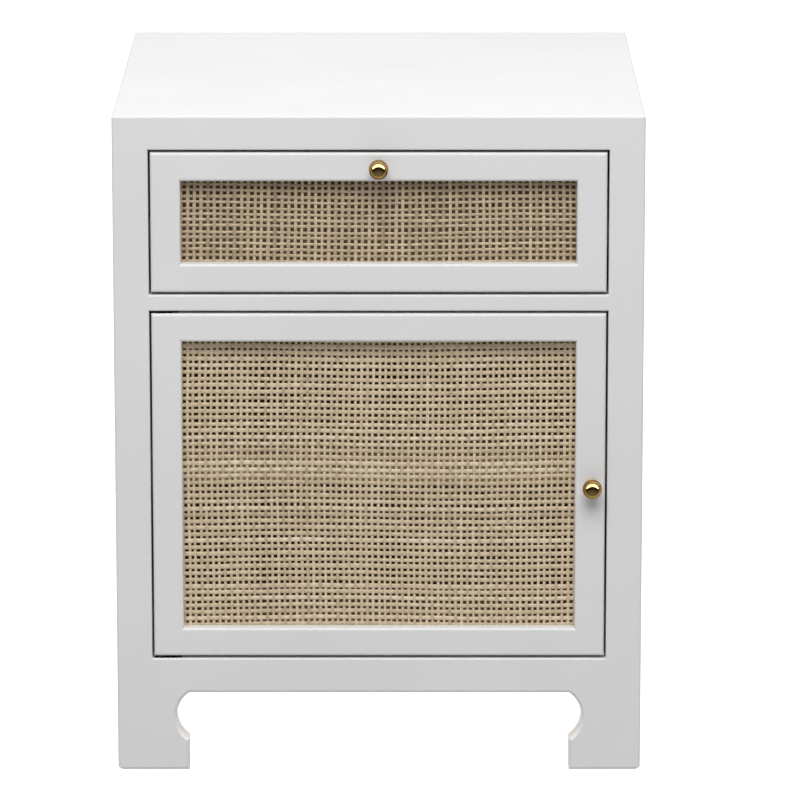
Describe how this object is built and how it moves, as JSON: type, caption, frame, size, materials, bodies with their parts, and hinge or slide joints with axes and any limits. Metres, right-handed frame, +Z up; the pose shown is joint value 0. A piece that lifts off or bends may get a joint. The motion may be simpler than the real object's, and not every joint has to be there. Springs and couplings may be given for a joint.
{
  "type": "storage side table",
  "caption": "Lacquered side table cabinet on bracket feet: a drawer on ball slides over a left-hinged door, both faced in woven cane, with round brass knobs and an inner shelf.",
  "frame": {"origin": "on the floor, in the middle of the bounding box, which takes in the knobs", "axes": "+Z up, -Y out of the front (drawer and door side), +X to the right seen from the front"},
  "size_m": [0.46, 0.481, 0.585],
  "materials": {
    "white_lacquer": "satin white lacquer on wood board",
    "cane": "natural woven cane, unlacquered",
    "brass": "polished",
    "steel": "zinc plated",
    "dark_steel": "blackened steel",
    "plastic": "moulded",
    "bare_wood": "oiled hardwood"
  },
  "bodies": {
    "case": {"top_panel": "white_lacquer", "left_side_panel": "white_lacquer", "right_side_panel": "white_lacquer", "left_stile": "white_lacquer", "right_stile": "white_lacquer", "top_rail": "white_lacquer", "mid_rail": "white_lacquer", "bottom_rail": "white_lacquer", "left_foot_bracket": "white_lacquer", "right_foot_bracket": "white_lacquer", "left_front_foot": "white_lacquer", "right_front_foot": "white_lacquer", "left_rear_foot": "white_lacquer", "right_rear_foot": "white_lacquer", "back_panel": "white_lacquer", "back_panel_screws": "steel", "rear_rail": "white_lacquer", "bottom_panel": "bare_wood", "divider_panel": "bare_wood", "shelf": "bare_wood", "shelf_pins": "steel", "dowels": "bare_wood", "hinge_frame_leaves": "dark_steel", "hinge_washers": "dark_steel", "catch_body": "plastic", "catch_magnet": "steel", "left_slide_outer": "steel", "right_slide_outer": "steel", "left_slide_batten": "bare_wood", "right_slide_batten": "bare_wood", "case_fasteners": "steel"},
    "drawer": {"drawer_top_rail": "white_lacquer", "drawer_bottom_rail": "white_lacquer", "drawer_left_stile": "white_lacquer", "drawer_right_stile": "white_lacquer", "drawer_cane": "cane", "drawer_cane_beads": "bare_wood", "drawer_knob": "brass", "drawer_box_front": "bare_wood", "drawer_box_back": "bare_wood", "drawer_left_side": "bare_wood", "drawer_right_side": "bare_wood", "drawer_bottom": "bare_wood", "left_slide_inner": "steel", "right_slide_inner": "steel", "drawer_fasteners": "steel"},
    "left_cage": {"left_ball_cage": "steel"},
    "right_cage": {"right_ball_cage": "steel"},
    "door": {"door_top_rail": "white_lacquer", "door_bottom_rail": "white_lacquer", "door_left_stile": "white_lacquer", "door_right_stile": "white_lacquer", "door_cane": "cane", "door_cane_beads": "bare_wood", "door_knob": "brass", "hinge_door_leaves": "dark_steel", "strike_plate": "steel", "door_fasteners": "steel"}
  },
  "joints": [
    {"name": "drawer_slide", "type": "slide", "parent": "case", "child": "drawer", "axis": [0, -1, 0], "range_m": [0, 0.28]},
    {"name": "left_cage_slide", "type": "slide", "parent": "case", "child": "left_cage", "axis": [0, -1, 0], "range_m": [0, 0.14]},
    {"name": "right_cage_slide", "type": "slide", "parent": "case", "child": "right_cage", "axis": [0, -1, 0], "range_m": [0, 0.14]},
    {"name": "door_hinge", "type": "hinge", "parent": "case", "child": "door", "pos_m": [-0.1907, -0.2138, 0.25775], "axis": [0, 0, -1], "range_deg": [0, 110]}
  ],
  "couplings": [
    {"joint": "left_cage_slide", "follows": "drawer_slide", "ratio": 0.5},
    {"joint": "right_cage_slide", "follows": "drawer_slide", "ratio": 0.5}
  ]
}
